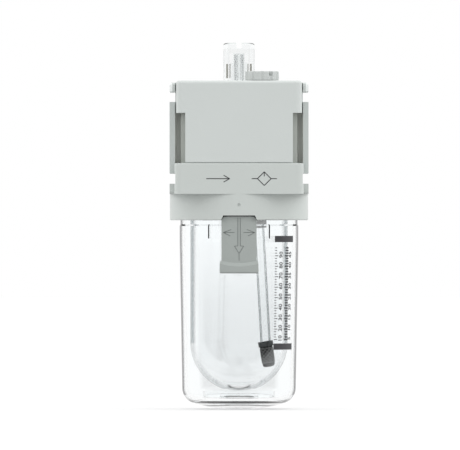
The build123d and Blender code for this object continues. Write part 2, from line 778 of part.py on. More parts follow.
with BuildPart() as damper_pin:
    with BuildSketch(Plane.XZ.offset(damper_pin_reach)):
        with Locations((0, damper_pin_z)):
            Circle(damper_pin_radius)
    extrude(amount=-damper_pin_reach - insert_groove_floor)

damper_pin.part.label = "damper_pin"
export_step(damper_pin.part, "parts/damper_pin.step")

with BuildPart() as damper:
    with BuildSketch(Plane.YZ.offset(-damper_thickness / 2)) as flap:
        with Locations((0, damper_pin_z - damper_length / 2)):
            Rectangle(2 * damper_half_width, damper_length)
        fillet(flap.vertices().group_by(Axis.Z)[0], damper_corner)
    extrude(amount=damper_thickness)
    with BuildSketch(Plane.XZ.offset(damper_half_width)):
        with Locations((0, damper_pin_z)):
            Circle(damper_knuckle_radius)
    extrude(amount=-2 * damper_half_width)
    with BuildSketch(Plane.XZ.offset(damper_half_width + cut_over)):
        with Locations((0, damper_pin_z)):
            Circle(damper_pin_radius + turn_gap)
    extrude(amount=-2 * damper_half_width - 2 * cut_over, mode=Mode.SUBTRACT)

damper.part.label = "damper"
export_step(damper.part, "parts/damper.step")


# Drip tube: stands in the insert and reaches up inside the sight dome.
dome_crown_top = dome_seat + dome_crown_rise
drip_tube_top = dome_crown_top - drip_tube_top_gap

with BuildPart() as drip_tube:
    with BuildSketch(Plane.XY.offset(insert_floor - drip_seat_depth)):
        Circle(drip_tube_radius)
        Circle(drip_tube_bore, mode=Mode.SUBTRACT)
    extrude(amount=drip_tube_top - insert_floor + drip_seat_depth)

drip_tube.part.label = "drip_tube"
export_step(drip_tube.part, "parts/drip_tube.step")


# Sight dome: clear cap on a sealed stem, turned by its slot to set the oil feed.
with BuildPart() as sight_dome:
    with BuildSketch(Plane.XY.offset(dome_seat)):
        Circle(dome_radius)
    extrude(amount=dome_height)
    fillet(sight_dome.edges().sort_by(Axis.Z)[-1], dome_edge)
    with BuildSketch(Plane.XY.offset(dome_seat)):
        Circle(dome_stem_radius)
    extrude(amount=dome_stem_bottom - dome_seat)
    with BuildSketch(Plane.XY.offset(dome_seat + dome_height)):
        Rectangle(dome_slot_width, 2 * dome_radius)
    extrude(amount=-dome_slot_depth, mode=Mode.SUBTRACT)

    # Inside: the stem's bore, the wide sight chamber and the narrow crown above it.
    with BuildSketch(Plane.XY.offset(dome_stem_bottom)):
        Circle(dome_stem_bore)
    extrude(amount=dome_seat - dome_stem_bottom, mode=Mode.SUBTRACT)
    with BuildSketch(Plane.XY.offset(dome_seat)):
        Circle(dome_chamber_radius)
    extrude(amount=dome_chamber_rise, mode=Mode.SUBTRACT)
    with BuildSketch(Plane.XY.offset(dome_seat)):
        Circle(dome_crown_radius)
    extrude(amount=dome_crown_rise, mode=Mode.SUBTRACT)
    groove(dome_seal_z, dome_groove_floor, dome_stem_radius, dome_seal)
    with BuildSketch(Plane.XY.offset(clip_bottom - push_fit)):
        Circle(dome_stem_radius + cut_over)
        Circle(dome_stem_radius - clip_depth, mode=Mode.SUBTRACT)
    extrude(amount=clip_thickness + 2 * push_fit, mode=Mode.SUBTRACT)

sight_dome.part.label = "sight_dome"
export_step(sight_dome.part, "parts/sight_dome.step")

dome_o_ring = seal_ring(Plane.XY.offset(dome_seal_z), dome_groove_floor, dome_seal)
dome_o_ring.part.label = "dome_o_ring"
export_step(dome_o_ring.part, "parts/dome_o_ring.step")


# Spring clip: open ring in the stem's lowest groove, which keeps the dome in the body.
clip_bore = dome_stem_radius - clip_depth + push_fit
clip_reach = 2 * (clip_bore + clip_width)

with BuildPart() as dome_clip:
    with BuildSketch(Plane.XY.offset(clip_bottom)):
        Circle(clip_bore + clip_width)
        Circle(clip_bore, mode=Mode.SUBTRACT)
        clip_spread = clip_reach * tan(radians(clip_gap_angle))
        Polygon((0, 0), (clip_reach, clip_spread), (clip_reach, -clip_spread), align=None, mode=Mode.SUBTRACT)
    extrude(amount=clip_thickness)

dome_clip.part.label = "dome_clip"
export_step(dome_clip.part, "parts/dome_clip.step")


# Refill plug: fluted head with a coin slot, on a threaded stem that stays plain here.
with BuildPart() as refill_plug:
    with BuildSketch(Plane.XY.offset(dome_seat)):
        with Locations((plug_x, plug_y)):
            Circle(plug_radius)
    extrude(amount=plug_head_height)
    fillet(refill_plug.edges().sort_by(Axis.Z)[-1], plug_edge)
    with BuildSketch(Plane.XY.offset(dome_seat)):
        with Locations((plug_x, plug_y)):
            with PolarLocations(plug_radius + plug_flute_radius - plug_flute_depth, plug_flute_count):
                Circle(plug_flute_radius)
    extrude(amount=plug_head_height, mode=Mode.SUBTRACT)
    with BuildSketch(Plane.XY.offset(dome_seat + plug_head_height)):
        with Locations((plug_x, plug_y)):
            Rectangle(2 * plug_radius, plug_slot_width, rotation=plug_slot_angle)
    extrude(amount=-plug_slot_depth, mode=Mode.SUBTRACT)
    with BuildSketch(Plane.XY.offset(dome_seat)):
        with Locations((plug_x, plug_y)):
            Circle(plug_thread_radius)
    extrude(amount=body_top - plug_counterbore - plug_thread_length - dome_seat)

refill_plug.part.label = "refill_plug"
export_step(refill_plug.part, "parts/refill_plug.step")

plug_seal_z = body_top - plug_counterbore + push_fit + plug_seal / 2
plug_o_ring = seal_ring(Plane((plug_x, plug_y, plug_seal_z)), plug_thread_radius + push_fit, plug_seal)
plug_o_ring.part.label = "plug_o_ring"
export_step(plug_o_ring.part, "parts/plug_o_ring.step")


# Lock button: thumb ledge with a flat slope, the curved plate that rises from it, and a stem.
thumb_front = button_front + ledge_out
thumb_top = button_bottom + thumb_height
thumb_half_angle = degrees(asin(ledge_width / 2 / thumb_front))
slope_middle = button_bottom + thumb_middle
slope_rate = tan(radians(thumb_slope))
slope_cut_front = thumb_front + cut_over
slope_cut_top = thumb_top + cut_over

with BuildPart() as lock_button:
    with BuildSketch(facing(-90 - thumb_half_angle)):
        Polygon(
            (button_back, button_bottom),
            (thumb_front - thumb_lower_edge, button_bottom),
            (thumb_front, button_bottom + thumb_lower_edge),
            (thumb_front, thumb_top),
            (button_back, thumb_top),
            align=None,
        )
    revolve(axis=Axis.Z, revolution_arc=2 * thumb_half_angle)
    with BuildSketch(Plane.YZ):
        Polygon(
            (-slope_cut_front, slope_middle - (slope_cut_front - button_front) * slope_rate),
            (-button_front + (slope_cut_top - slope_middle) / slope_rate, slope_cut_top),
            (-slope_cut_front, slope_cut_top),
            align=None,
        )
    extrude(amount=ledge_width, both=True, mode=Mode.SUBTRACT)
    with BuildSketch(Plane.XY.offset(button_bottom)):
        curved_slab(button_back, button_front, button_width)
    extrude(amount=button_height)
    chamfer(lock_button.edges().filter_by(Axis.Y).group_by(Axis.Z)[-1], button_top_corner)

    # Stem through the guard's slot, with a head behind the wall and a spigot for the spring.
    with BuildSketch(Plane.XY.offset(stem_bottom)):
        with Locations((0, -(stem_head_front + button_back) / 2)):
            Rectangle(stem_width, button_back - stem_head_front + 2 * button_back_gap)
    extrude(amount=stem_height)
    with BuildSketch(Plane.XY.offset(stem_bottom)):
        curved_slab(stem_head_front - stem_head_thickness, stem_head_front, stem_head_width)
    extrude(amount=stem_height)
    with BuildSketch(Plane.XY.offset(stem_bottom)):
        with Locations((0, spring_y)):
            Circle(spigot_radius)
    extrude(amount=-spigot_length)

lock_button.part.label = "lock_button"
export_step(lock_button.part, "parts/lock_button.step")


# Lock spring: small coil spring that pushes the button up into its notch.
spring_start = spring_seat + spring_wire / 2 + push_fit
coil_height = spring_length - spring_wire - 2 * push_fit

with BuildPart() as lock_spring:
    with BuildLine() as coil:
        Helix(coil_height / spring_turns, coil_height, spring_radius, center=(0, spring_y, spring_start))
    with BuildSketch(Plane(origin=coil.line @ 0, z_dir=coil.line % 0)):
        Circle(spring_wire / 2)
    sweep()

lock_spring.part.label = "lock_spring"
export_step(lock_spring.part, "parts/lock_spring.step")
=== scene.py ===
# %% [markdown]
# # Dressing an air line lubricator
# The object is a modular lubricator for compressed air: a painted die casting on top, a clear guard and
# a clear oil bowl below it, a sight dome and a refill plug on the top, and a grey lock button in front.
# Its rigid pieces come from a CAD model and are loaded as a fixed frame. This script adds their
# finishes, the port threads, a wire sleeve, a copy of the lock spring, marks, a level scale, lights, a
# floor and a camera.

# %% Load the CAD pieces
import bpy
import json
import math
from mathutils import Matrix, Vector

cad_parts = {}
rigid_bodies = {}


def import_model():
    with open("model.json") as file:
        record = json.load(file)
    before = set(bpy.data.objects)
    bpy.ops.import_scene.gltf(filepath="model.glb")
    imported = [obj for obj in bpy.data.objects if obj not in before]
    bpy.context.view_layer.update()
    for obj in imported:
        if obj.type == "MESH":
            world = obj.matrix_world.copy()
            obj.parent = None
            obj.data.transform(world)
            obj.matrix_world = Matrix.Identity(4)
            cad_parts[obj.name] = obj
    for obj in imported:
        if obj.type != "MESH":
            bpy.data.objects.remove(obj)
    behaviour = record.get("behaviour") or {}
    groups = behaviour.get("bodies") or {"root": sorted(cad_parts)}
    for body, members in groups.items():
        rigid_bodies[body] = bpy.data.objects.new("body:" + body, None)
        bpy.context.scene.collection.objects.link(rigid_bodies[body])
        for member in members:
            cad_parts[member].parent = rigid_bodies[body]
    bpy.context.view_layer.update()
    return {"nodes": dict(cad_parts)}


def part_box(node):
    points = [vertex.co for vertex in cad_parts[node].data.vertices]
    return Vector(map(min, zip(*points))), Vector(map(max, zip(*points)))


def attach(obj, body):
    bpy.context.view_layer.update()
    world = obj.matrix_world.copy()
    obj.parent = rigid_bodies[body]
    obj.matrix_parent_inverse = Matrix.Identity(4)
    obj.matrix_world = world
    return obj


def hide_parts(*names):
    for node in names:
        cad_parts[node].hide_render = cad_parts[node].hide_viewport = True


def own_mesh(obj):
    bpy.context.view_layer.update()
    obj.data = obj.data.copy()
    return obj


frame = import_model()
nodes = frame["nodes"]
MM = 0.001
print("CAD nodes:", sorted(nodes))

# %% [markdown]
# Blender's operators act on whatever is selected, and a fresh import leaves everything selected.
# Each modelling step below therefore starts from an empty selection or from a single piece, and each
# cut in edit mode starts with the whole of that piece selected.

# %% Helpers: what is selected
def deselect_all():
    if bpy.context.mode != "OBJECT":
        bpy.ops.object.mode_set(mode="OBJECT")
    bpy.ops.object.select_all(action="DESELECT")


def only(piece):
    deselect_all()
    piece.select_set(True)
    bpy.context.view_layer.objects.active = piece


def edit_all():
    """Go into edit mode on the active piece, with all of it selected."""
    bpy.ops.object.mode_set(mode="EDIT")
    bpy.ops.mesh.select_all(action="SELECT")


deselect_all()
print("selected:", len(bpy.context.selected_objects))

# %% [markdown]
# The tent, the cloth, the floor and all finishes are small graphs of shader nodes. By hand, each node
# is placed, its numbers are typed in and its wires are pulled. The helpers below do that in one line:
# an input given as a number or a colour is typed in, and one given as a socket is wired.

# %% Helpers: shader nodes
def feed(tree, slot, value):
    if isinstance(value, bpy.types.NodeSocket):
        tree.links.new(value, slot)
    else:
        slot.default_value = value


def add_node(tree, kind, **inputs):
    """Place a node and feed its named inputs. An underscore stands for a space."""
    node = tree.nodes.new(kind)
    for name, value in inputs.items():
        feed(tree, node.inputs[name.replace("_", " ")], value)
    return node


def calculate(tree, kind, operation, inputs):
    node = tree.nodes.new(kind)
    node.operation = operation
    for slot, value in zip(node.inputs, inputs):
        feed(tree, slot, value)
    return node


def maths(tree, operation, *inputs, clamp=False):
    node = calculate(tree, "ShaderNodeMath", operation, inputs)
    node.use_clamp = clamp
    return node.outputs["Value"]


def vector_maths(tree, operation, *inputs):
    """The same for vectors. A length or a distance comes out as one number."""
    node = calculate(tree, "ShaderNodeVectorMath", operation, inputs)
    return node.outputs["Value" if operation in ("LENGTH", "DISTANCE") else "Vector"]


def mix_colours(tree, amount, first, second):
    node = tree.nodes.new("ShaderNodeMix")
    node.data_type = "RGBA"
    for name, value in (("Factor", amount), ("A", first), ("B", second)):
        feed(tree, node.inputs[name], value)
    return node.outputs["Result"]


print("node helpers:", ", ".join(f.__name__ for f in (add_node, maths, vector_maths, mix_colours)))

# %% [markdown]
# ## Camera
# The photograph is a level front view from far away, a little left of the bowl's axis and about half
# way up the object. A very long lens at four metres gives the same almost flat perspective.

# %% Camera
CAMERA_DISTANCE = 4.0
CAMERA_X = -3.45 * MM
CAMERA_Z = 70.55 * MM
VIEW_WIDTH = 176.4 * MM
SENSOR = 36.0
FARTHEST_SEEN = 10.0

bpy.ops.object.camera_add(
    location=(CAMERA_X, -CAMERA_DISTANCE, CAMERA_Z), rotation=(math.pi / 2, 0, 0),
)
camera = bpy.context.object
camera.name = "photo_camera"
camera.data.sensor_width = SENSOR
camera.data.lens = SENSOR * CAMERA_DISTANCE / VIEW_WIDTH
camera.data.clip_end = FARTHEST_SEEN
bpy.context.scene.camera = camera
print("lens", round(camera.data.lens, 1), "mm")

# %% [markdown]
# ## Light
# The photograph was taken in a white tent that is brightest overhead and at the sides, and darker
# where the camera stands. Clear plastic shows only what surrounds it, so the tent looks fully white
# to the eye and in every mirror or lens. As a light on paint it has a strength of its own, which
# grows from the horizon to the zenith and shrinks towards the front.

# %% World: a white tent with a light of its own
SIDE_LIGHT = 1.08
TOP_LIGHT = 1.55
FRONT_SHARE = 0.75

world = bpy.data.worlds.new("tent")
bpy.context.scene.world = world
world.use_nodes = True
tree = world.node_tree
background = tree.nodes["Background"]
background.inputs["Color"].default_value = (1, 1, 1, 1)

direction = add_node(tree, "ShaderNodeTexCoord").outputs["Generated"]
split = add_node(tree, "ShaderNodeSeparateXYZ", Vector=direction)
light = add_node(
    tree, "ShaderNodeMapRange", Value=split.outputs["Z"], To_Min=SIDE_LIGHT, To_Max=TOP_LIGHT,
)
front = add_node(
    tree, "ShaderNodeMapRange", Value=split.outputs["Y"],
    From_Min=-1.0, From_Max=0.0, To_Min=FRONT_SHARE, To_Max=1.0,
)
on_paint = maths(tree, "MULTIPLY", light.outputs["Result"], front.outputs["Result"])
paths = add_node(tree, "ShaderNodeLightPath")
seen = maths(tree, "MAXIMUM", paths.outputs["Is Camera Ray"], paths.outputs["Is Glossy Ray"])
seen = maths(tree, "MAXIMUM", seen, paths.outputs["Is Transmission Ray"])
strength = add_node(tree, "ShaderNodeMapRange", Value=seen, To_Min=on_paint, To_Max=1.0)
feed(tree, background.inputs["Strength"], strength.outputs["Result"])
print("tent light", SIDE_LIGHT, "at the sides,", TOP_LIGHT, "overhead")

# %% [markdown]
# Light from all sides alone leaves the block's edges flat. Two large soft lamps give them shape: a
# key from the upper right front, and a weaker fill from the left. Gloss and clear plastic don't see
# them, because there they would show as bright squares.

# %% Lamps: a soft key and a soft fill
LAMP_AIM = (0, 0, 0.08)
LAMP_SIZE = 0.5
KEY_PLACE = (0.95, -0.45, 0.45)
KEY_POWER = 2.6
FILL_PLACE = (-0.95, -0.45, 0.40)
FILL_POWER = 1.8


def soft_lamp(name, place, power):
    beam = Vector(LAMP_AIM) - Vector(place)
    turn = beam.to_track_quat("-Z", "Y").to_euler()
    bpy.ops.object.light_add(type="AREA", location=place, rotation=turn)
    lamp = bpy.context.object
    lamp.name = name
    lamp.data.shape = "SQUARE"
    lamp.data.size = LAMP_SIZE
    lamp.data.energy = power
    lamp.visible_glossy = False
    lamp.visible_transmission = False


soft_lamp("key_lamp", KEY_PLACE, KEY_POWER)
soft_lamp("fill_lamp", FILL_PLACE, FILL_POWER)

# %% [markdown]
# Every clear wall mirrors a little of what stands in front of it. Four walls that mirror a white tent
# would veil the dark pieces inside the bowl, so a photographer hangs dark cloth on the camera's side
# and lays a dark mat on the floor. The cloth is half a cylinder, and the mat is a disc that ends
# before the object. Neither is seen by the eye, lights the paint or throws a shadow.

# %% Dark cloth and dark mat on the camera's side
CLOTH_RADIUS = 0.45
CLOTH_HEIGHT = 0.5
CLOTH_SIDES = 48
MAT_LIFT = 0.2 * MM
MAT_START = 30 * MM


def hang(name, start):
    """Keep what lies on the camera's side of the start, and hide it from the eye."""
    piece = bpy.context.object
    edit_all()
    bpy.ops.mesh.bisect(plane_co=(0, -start, 0), plane_no=(0, 1, 0), clear_outer=True)
    bpy.ops.object.mode_set(mode="OBJECT")
    piece.name = name
    piece.visible_camera = False
    piece.visible_diffuse = False
    piece.visible_shadow = False
    print(piece.name, len(piece.data.polygons), "faces")
    return piece


bpy.ops.mesh.primitive_cylinder_add(
    vertices=CLOTH_SIDES, radius=CLOTH_RADIUS, depth=CLOTH_HEIGHT, end_fill_type="NOTHING",
    location=(0, 0, CLOTH_HEIGHT / 2),
)
cloth = hang("dark_cloth", 0)
bpy.ops.mesh.primitive_circle_add(
    vertices=CLOTH_SIDES, radius=CLOTH_RADIUS, fill_type="NGON", location=(0, 0, MAT_LIFT),
)
mat = hang("dark_mat", MAT_START)

# %% [markdown]
# Only light that one of the front walls has mirrored once meets the felt: it was mirrored a single
# time and has passed no more than six clear surfaces. All other rays go through, so that the felt
# doesn't show in the walls behind. It is also left open round half the object's height, so that the
# bowl stays bright between the strainer and the casting.

# %% Felt that only mirrored light can see
CLOTH_TONE = 0.02
MIRRORED_ONCE = 1.0
COUNT_MARGIN = 0.5
FRONT_WALLS = 6.5
OPEN_HEIGHT = 0.075
OPEN_HALF = 0.02
CLOSED_HALF = 0.05


def new_material(name):
    """An empty material, its node tree and its Principled shader."""
    material = bpy.data.materials.new(name)
    material.use_nodes = True
    return material, material.node_tree, material.node_tree.nodes["Principled BSDF"]


def mix_surfaces(tree, amount, first, second):
    """Show the first shader where the amount is 0, and the second where it is 1."""
    mix = tree.nodes.new("ShaderNodeMixShader")
    for slot, socket in zip(mix.inputs, (amount, first, second)):
        tree.links.new(socket, slot)
    feed(tree, tree.nodes["Material Output"].inputs["Surface"], mix.outputs["Shader"])


felt, tree, shader = new_material("dark_felt")
shader.inputs["Base Color"].default_value = (CLOTH_TONE, CLOTH_TONE, CLOTH_TONE, 1)
shader.inputs["Roughness"].default_value = 1.0
paths = add_node(tree, "ShaderNodeLightPath")
once = maths(tree, "COMPARE", paths.outputs["Glossy Depth"], MIRRORED_ONCE, COUNT_MARGIN)
by_front = maths(tree, "LESS_THAN", paths.outputs["Transmission Depth"], FRONT_WALLS)
mirrored = maths(tree, "MULTIPLY", once, by_front)
position = add_node(tree, "ShaderNodeNewGeometry").outputs["Position"]
height = add_node(tree, "ShaderNodeSeparateXYZ", Vector=position).outputs["Z"]
away = maths(tree, "ABSOLUTE", maths(tree, "SUBTRACT", height, OPEN_HEIGHT))
closed = add_node(
    tree, "ShaderNodeMapRange", Value=away, From_Min=OPEN_HALF, From_Max=CLOSED_HALF,
)
amount = maths(tree, "MULTIPLY", mirrored, closed.outputs["Result"])
passing = add_node(tree, "ShaderNodeBsdfTransparent")
mix_surfaces(tree, amount, passing.outputs["BSDF"], shader.outputs["BSDF"])
for piece in (cloth, mat):
    piece.data.materials.append(felt)
print(felt.name, "on", cloth.name, "and", mat.name)

# %% [markdown]
# The view settings stay plain, so that a colour renders about as it is written. Eight clear walls
# stand one behind the other, so light rays may pass more surfaces than Blender's default allows.

# %% View settings and light paths
RAY_STEPS = 24

scene = bpy.context.scene
scene.view_settings.view_transform = "Standard"
scene.cycles.max_bounces = RAY_STEPS
scene.cycles.transmission_bounces = RAY_STEPS
scene.cycles.transparent_max_bounces = RAY_STEPS
print("view", scene.view_settings.view_transform, "with", RAY_STEPS, "steps for a ray")

# %% [markdown]
# ## Shared effects
# Two small effects turn up in nearly every finish, so each is a node group with named inputs. The
# first mixes two close tones in soft patches, as paint and moulded plastic have.

# %% Group: two tones in soft patches
NOISE_DETAIL = 3


def new_group(name, inputs, outputs):
    """A node group, with the nodes that stand for its inputs and its outputs."""
    group = bpy.data.node_groups.new(name, "ShaderNodeTree")
    for label, kind, value in inputs:
        socket = group.interface.new_socket(label, in_out="INPUT", socket_type=kind)
        socket.default_value = value
    for label, kind in outputs:
        group.interface.new_socket(label, in_out="OUTPUT", socket_type=kind)
    return group, group.nodes.new("NodeGroupInput"), group.nodes.new("NodeGroupOutput")


def own_place(group):
    """The piece's own coordinates, on which every pattern here lies."""
    return add_node(group, "ShaderNodeTexCoord").outputs["Object"]


def soft_noise(group, scale):
    noise = add_node(
        group, "ShaderNodeTexNoise", Vector=own_place(group), Scale=scale, Detail=NOISE_DETAIL,
    )
    return noise.outputs["Fac"]


mottle, source, sink = new_group(
    "soft_mottle",
    [("Tone", "NodeSocketColor", (0.6, 0.6, 0.6, 1)),
     ("Second Tone", "NodeSocketColor", (0.5, 0.5, 0.5, 1)),
     ("Scale", "NodeSocketFloat", 60.0)],
    [("Color", "NodeSocketColor")],
)
patches = soft_noise(mottle, source.outputs["Scale"])
colour = mix_colours(mottle, patches, source.outputs["Tone"], source.outputs["Second Tone"])
feed(mottle, sink.inputs["Color"], colour)
print("group", mottle.name)

# %% [markdown]
# The second effect is a fine skin, such as orange peel in paint or the grain of a mould. It gives a
# height for a Bump node, and a roughness that follows the same noise.

# %% Group: fine skin, as height and roughness
skin, source, sink = new_group(
    "fine_skin",
    [("Scale", "NodeSocketFloat", 1500.0),
     ("Smoothest", "NodeSocketFloat", 0.35),
     ("Roughest", "NodeSocketFloat", 0.5)],
    [("Height", "NodeSocketFloat"), ("Roughness", "NodeSocketFloat")],
)
height = soft_noise(skin, source.outputs["Scale"])
spread = add_node(
    skin, "ShaderNodeMapRange", Value=height,
    To_Min=source.outputs["Smoothest"], To_Max=source.outputs["Roughest"],
)
feed(skin, sink.inputs["Height"], height)
feed(skin, sink.inputs["Roughness"], spread.outputs["Result"])
print("group", skin.name)

# %% [markdown]
# A finish is then one Principled shader fed by those groups. The helper below places them with the
# values of one finish: its two tones, the scale of its patches and of its grain, how deep the grain
# is, and how smooth and how rough the skin gets.

# %% Helper: an opaque finish
OPAQUE_BUMP = 0.6


def add_group(tree, group, **inputs):
    node = tree.nodes.new("ShaderNodeGroup")
    node.node_tree = group
    for name, value in inputs.items():
        feed(tree, node.inputs[name.replace("_", " ")], value)
    return node


def add_skin(tree, shader, scale, depth, smooth, rough, strength):
    grain = add_group(tree, skin, Scale=scale, Smoothest=smooth, Roughest=rough)
    bump = add_node(
        tree, "ShaderNodeBump", Strength=strength, Distance=depth, Height=grain.outputs["Height"],
    )
    feed(tree, shader.inputs["Roughness"], grain.outputs["Roughness"])
    feed(tree, shader.inputs["Normal"], bump.outputs["Normal"])


def opaque_finish(name, tone, second, patches, grain, depth, smooth, rough, **principled):
    material, tree, shader = new_material(name)
    colour = add_group(tree, mottle, Tone=(*tone, 1), Second_Tone=(*second, 1), Scale=patches)
    feed(tree, shader.inputs["Base Color"], colour.outputs["Color"])
    add_skin(tree, shader, grain, depth, smooth, rough, OPAQUE_BUMP)
    for key, value in principled.items():
        shader.inputs[key.replace("_", " ")].default_value = value
    return material


def dress(material, *names):
    for name in names:
        for slot in nodes[name].material_slots:
            slot.material = material
    print(material.name, "->", ", ".join(names))


print("an opaque finish uses the groups", mottle.name, "and", skin.name)

# %% [markdown]
# Some tones end at a height, at a distance from the axis or at a distance to the side. Such a zone
# could be a material slot of its own, but the CAD faces don't end there. The group below moves each
# point to the nearest one in the zone: where that changes nothing, the point is inside.

# %% Group: a zone given by distance from the axis, distance to the side, and height
ZONE_EDGE = 0.001 * MM

zone, source, sink = new_group(
    "zone",
    [("Least", "NodeSocketVector", (0, 0, 0)),
     ("Most", "NodeSocketVector", (1, 1, 1))],
    [("Mask", "NodeSocketFloat")],
)
x, y, z = add_node(zone, "ShaderNodeSeparateXYZ", Vector=own_place(zone)).outputs
flat = add_node(zone, "ShaderNodeCombineXYZ", X=x, Y=y).outputs["Vector"]
radius = vector_maths(zone, "LENGTH", flat)
aside = maths(zone, "ABSOLUTE", x)
here = add_node(zone, "ShaderNodeCombineXYZ", X=radius, Y=aside, Z=z).outputs["Vector"]
raised = vector_maths(zone, "MAXIMUM", here, source.outputs["Least"])
nearest = vector_maths(zone, "MINIMUM", raised, source.outputs["Most"])
miss = vector_maths(zone, "DISTANCE", nearest, here)
feed(zone, sink.inputs["Mask"], maths(zone, "LESS_THAN", miss, ZONE_EDGE))
print("group", zone.name)


def zone_mask(tree, least, most):
    """1 inside a zone whose bounds are given in millimetres, and 0 elsewhere."""
    bounds = {"Least": [v * MM for v in least], "Most": [v * MM for v in most]}
    return add_group(tree, zone, **bounds).outputs["Mask"]


# %% [markdown]
# ## Painted casting
# The body is an aluminium die casting with a baked, pale grey coat of one colour. Baked paint has a
# faint orange peel and a soft sheen. Light and shade are painted into the coat by zone: painted shade
# on the front block and the skirt below the parting groove, darker painted shade on the flanges of the
# ports and on the recessed steps next to the pad, painted light on the ears at the top and on the neck
# faces, and painted shade inside the skirt, which also darkens the gap above the lock button. Each of
# these tones fills a zone, and a later zone covers an earlier one.

# %% Finish of the body
PAINT = (0.60, 0.635, 0.62)
PAINT_SHADE = (0.58, 0.615, 0.60)
# Each zone has its least and its most distance from the axis, distance to the side and height, in
# millimetres, and then its tone.
# Every tone in this list is painted light or painted shade, not a colour of the coat.
BODY_PAINTED_LIGHT = [
    ("painted shade below the groove", (0, 0, 0), (60, 60, 94.3), (0.55, 0.585, 0.565)),
    ("painted shade on the port flanges", (0, 24.5, 90.2), (60, 60, 117.6), (0.54, 0.58, 0.565)),
    ("painted light on the upper ears", (33, 24.5, 117.6), (60, 60, 125.5), (0.88, 0.91, 0.90)),
    ("painted light on the necks", (25.8, 22.25, 94.3), (60, 24.45, 113.3), (0.74, 0.76, 0.72)),
    ("painted shade on the steps beside the pad", (25.8, 20.55, 94.3), (60, 22.25, 113.3), (0.42, 0.44, 0.41)),
    ("painted shade inside the skirt", (0, 0, 0), (25.45, 60, 89.0), (0.30, 0.315, 0.305)),
]

body_paint = opaque_finish(
    "body_paint", PAINT, PAINT_SHADE,
    patches=45, grain=1400, depth=0.04 * MM, smooth=0.36, rough=0.48,
    Coat_Weight=0.12, Coat_Roughness=0.3,
)
tree = body_paint.node_tree
base = tree.nodes["Principled BSDF"].inputs["Base Color"]
tone = base.links[0].from_socket
for part, least, most, colour in BODY_PAINTED_LIGHT:
    tone = mix_colours(tree, zone_mask(tree, least, most), tone, (*colour, 1))
    print(part, colour)
feed(tree, base, tone)
dress(body_paint, "body")

# %% [markdown]
# ## Clear plastics
# Guard, bowl, dome and tubes are moulded from clear plastic. In a white tent such a wall is nearly
# invisible, and only its outline shows, as a grey line where the outer skin turns away from the eye.
# That line is painted shade in the plastic's colour, standing in for the dark that the turned-away skin
# bends and mirrors. The group below finds the outer skin of a round-bottomed cup, so that the inner
# skin stays clear.

# %% Group: the outer skin of a cup on the Z axis
cup, source, sink = new_group(
    "outer_skin",
    [("Radius", "NodeSocketFloat", 0.02),
     ("Round Centre", "NodeSocketFloat", 0.0),
     ("Pale Below", "NodeSocketFloat", 0.0),
     ("Paleness", "NodeSocketFloat", 0.0)],
    [("Mask", "NodeSocketFloat")],
)
x, y, z = add_node(cup, "ShaderNodeSeparateXYZ", Vector=own_place(cup)).outputs
drop = maths(cup, "SUBTRACT", z, source.outputs["Round Centre"])
below = maths(cup, "MINIMUM", drop, 0.0)
from_centre = add_node(cup, "ShaderNodeCombineXYZ", X=x, Y=y, Z=below).outputs["Vector"]
reach = vector_maths(cup, "LENGTH", from_centre)
outside = maths(cup, "GREATER_THAN", reach, source.outputs["Radius"])
low = maths(cup, "LESS_THAN", z, source.outputs["Pale Below"])
pale = maths(cup, "MULTIPLY", low, source.outputs["Paleness"])
feed(cup, sink.inputs["Mask"], maths(cup, "SUBTRACT", outside, pale, clamp=True))
print("group", cup.name)

# %% [markdown]
# Plain glass would let no lamp light through to the pieces behind it, so for shadow rays the shader
# becomes see-through. The Layer Weight node gives how far the surface has turned away, and a Map Range
# makes a line of painted shade of it. The skin group adds the faint unevenness of a moulded wall.

# %% Helper: a clear finish
CLEAR_GRAIN = 90
CLEAR_BUMP = 0.3


def clear_finish(name, tone, painted_outline, turned, index, smooth, rough, depth, **skin_of_cup):
    """Clear plastic of one tone, with a line of painted shade in a second tone at a range of turning
    away.
    """
    material, tree, shader = new_material(name)
    shader.inputs["Transmission Weight"].default_value = 1.0
    shader.inputs["IOR"].default_value = index
    add_skin(tree, shader, CLEAR_GRAIN, depth, smooth, rough, CLEAR_BUMP)

    facing = add_node(tree, "ShaderNodeLayerWeight").outputs["Facing"]
    line = add_node(
        tree, "ShaderNodeMapRange", Value=facing, From_Min=turned[0], From_Max=turned[1],
    )
    amount = line.outputs["Result"]
    if skin_of_cup:
        outer = add_group(tree, cup, **skin_of_cup)
        amount = maths(tree, "MULTIPLY", amount, outer.outputs["Mask"])
    colour = mix_colours(tree, amount, (*tone, 1), (*painted_outline, 1))
    feed(tree, shader.inputs["Base Color"], colour)

    shadow = add_node(tree, "ShaderNodeLightPath").outputs["Is Shadow Ray"]
    passing = add_node(
        tree, "ShaderNodeBsdfTransparent", Color=(*[math.sqrt(c) for c in tone], 1),
    )
    mix_surfaces(tree, shadow, shader.outputs["BSDF"], passing.outputs["BSDF"])
    return material


print("a clear finish uses the groups", skin.name, "and", cup.name)

# %% [markdown]
# The guard's wall carries most of the faint blue-green tint, and its outline is a thin near-black line
# of painted shade. The bowl inside it is thicker, and its outline is a broader band of painted shade
# that gets paler in the round bottom, where it stands before the floor.

# %% Finish of the guard, the bowl, the dome and the tubes
POLYCARBONATE = 1.585
TUBE_PLASTIC = 1.53
GUARD_SKIN = 21.2 * MM
GUARD_FOOT = 4.0 * MM
BOWL_SKIN = 17.75 * MM
BOWL_ROUND_CENTRE = 25.4 * MM
NOT_ROUND = -1.0
